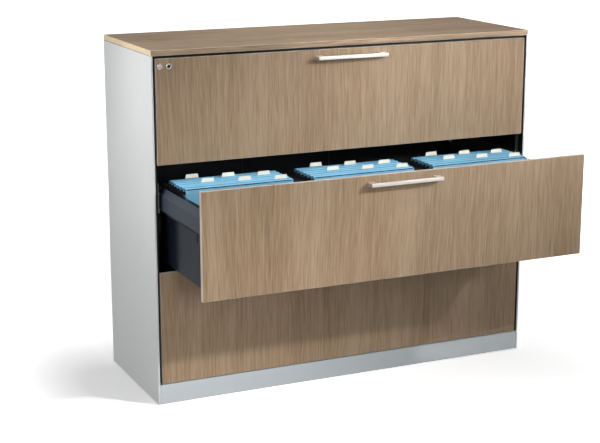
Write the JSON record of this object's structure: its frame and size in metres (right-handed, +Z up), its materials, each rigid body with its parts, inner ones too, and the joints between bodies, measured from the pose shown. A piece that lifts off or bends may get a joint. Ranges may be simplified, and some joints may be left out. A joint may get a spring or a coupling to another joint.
{
  "type": "lateral filing cabinet",
  "caption": "Lateral filing cabinet: steel carcass, wood-decor top and drawer fronts, bow handles, cylinder lock and telescopic drawers with bays for hanging files.",
  "frame": {"origin": "on the floor, under the middle of the whole outline at rest, with the middle drawer standing open as in the picture", "axes": "+X to the viewer's right along the width, +Y from the drawer fronts to the back, +Z up"},
  "size_m": [1.2, 0.778, 1.01],
  "materials": {
    "wood_decor": "walnut-look decor with fine upright grain, satin",
    "light_grey_paint": "light silver-grey powder coat, satin",
    "dark_grey_paint": "anthracite powder coat, satin",
    "runner_steel": "bright zinc-plated steel",
    "handle_nickel": "satin nickel",
    "lock_nickel": "polished nickel",
    "foot_plastic": "black moulded plastic",
    "folder_card": "blue suspension-file card with clear-white index tabs"
  },
  "bodies": {
    "cabinet": {"left_side": "light_grey_paint", "front_upright_left": "dark_grey_paint", "rear_upright_left": "dark_grey_paint", "foot_front_left": "foot_plastic", "foot_rear_left": "foot_plastic", "fixed_rail_bottom_left": "runner_steel", "fixed_rail_middle_left": "runner_steel", "fixed_rail_top_left": "runner_steel", "right_side": "light_grey_paint", "front_upright_right": "dark_grey_paint", "rear_upright_right": "dark_grey_paint", "foot_front_right": "foot_plastic", "foot_rear_right": "foot_plastic", "fixed_rail_bottom_right": "runner_steel", "fixed_rail_middle_right": "runner_steel", "fixed_rail_top_right": "runner_steel", "back_panel": "light_grey_paint", "base_panel": "dark_grey_paint", "top_panel": "dark_grey_paint", "top_board": "wood_decor", "plinth": "light_grey_paint", "rear_base_rail": "dark_grey_paint"},
    "drawer_bottom": {"front_bottom": "wood_decor", "handle_bottom": "handle_nickel", "tray_bottom": "dark_grey_paint", "drawer_rail_bottom_left": "dark_grey_paint", "divider_bottom_left": "dark_grey_paint", "drawer_rail_bottom_right": "dark_grey_paint", "divider_bottom_right": "dark_grey_paint"},
    "slides_bottom": {"mid_rail_bottom_left": "runner_steel", "mid_rail_bottom_right": "runner_steel"},
    "drawer_middle": {"front_middle": "wood_decor", "handle_middle": "handle_nickel", "tray_middle": "dark_grey_paint", "drawer_rail_middle_left": "dark_grey_paint", "divider_middle_left": "dark_grey_paint", "drawer_rail_middle_right": "dark_grey_paint", "divider_middle_right": "dark_grey_paint", "hanging_files_left": "folder_card", "hanging_files_centre": "folder_card", "hanging_files_right": "folder_card"},
    "slides_middle": {"mid_rail_middle_left": "runner_steel", "mid_rail_middle_right": "runner_steel"},
    "drawer_top": {"front_top": "wood_decor", "handle_top": "handle_nickel", "tray_top": "dark_grey_paint", "drawer_rail_top_left": "dark_grey_paint", "divider_top_left": "dark_grey_paint", "drawer_rail_top_right": "dark_grey_paint", "divider_top_right": "dark_grey_paint", "lock_body": "lock_nickel", "lock_nut": "runner_steel", "cover_cap": "lock_nickel"},
    "slides_top": {"mid_rail_top_left": "runner_steel", "mid_rail_top_right": "runner_steel"},
    "lock_core": {"lock_core": "lock_nickel", "lock_cam": "runner_steel"},
    "locking_bar": {"locking_bar": "runner_steel"}
  },
  "joints": [
    {"name": "drawer_bottom_slide", "type": "slide", "parent": "cabinet", "child": "drawer_bottom", "axis": [0, -1, 0], "range_m": [0, 0.37]},
    {"name": "slides_bottom_slide", "type": "slide", "parent": "cabinet", "child": "slides_bottom", "axis": [0, -1, 0], "range_m": [0, 0.185]},
    {"name": "drawer_middle_slide", "type": "slide", "parent": "cabinet", "child": "drawer_middle", "axis": [0, -1, 0], "range_m": [-0.33, 0.04]},
    {"name": "slides_middle_slide", "type": "slide", "parent": "cabinet", "child": "slides_middle", "axis": [0, -1, 0], "range_m": [-0.165, 0.02]},
    {"name": "drawer_top_slide", "type": "slide", "parent": "cabinet", "child": "drawer_top", "axis": [0, -1, 0], "range_m": [0, 0.37]},
    {"name": "slides_top_slide", "type": "slide", "parent": "cabinet", "child": "slides_top", "axis": [0, -1, 0], "range_m": [0, 0.185]},
    {"name": "lock_turn", "type": "hinge", "parent": "drawer_top", "child": "lock_core", "pos_m": [-0.5495, -0.031, 0.9655], "axis": [0, 1, 0], "range_deg": [0, 90]},
    {"name": "bar_lift", "type": "slide", "parent": "cabinet", "child": "locking_bar", "axis": [0, 0, 1], "range_m": [0, 0.012]}
  ],
  "couplings": [
    {"joint": "slides_bottom_slide", "follows": "drawer_bottom_slide", "ratio": 0.5},
    {"joint": "slides_middle_slide", "follows": "drawer_middle_slide", "ratio": 0.5},
    {"joint": "slides_top_slide", "follows": "drawer_top_slide", "ratio": 0.5},
    {"joint": "lock_turn", "follows": "bar_lift", "rad_per_m": 130.9}
  ]
}
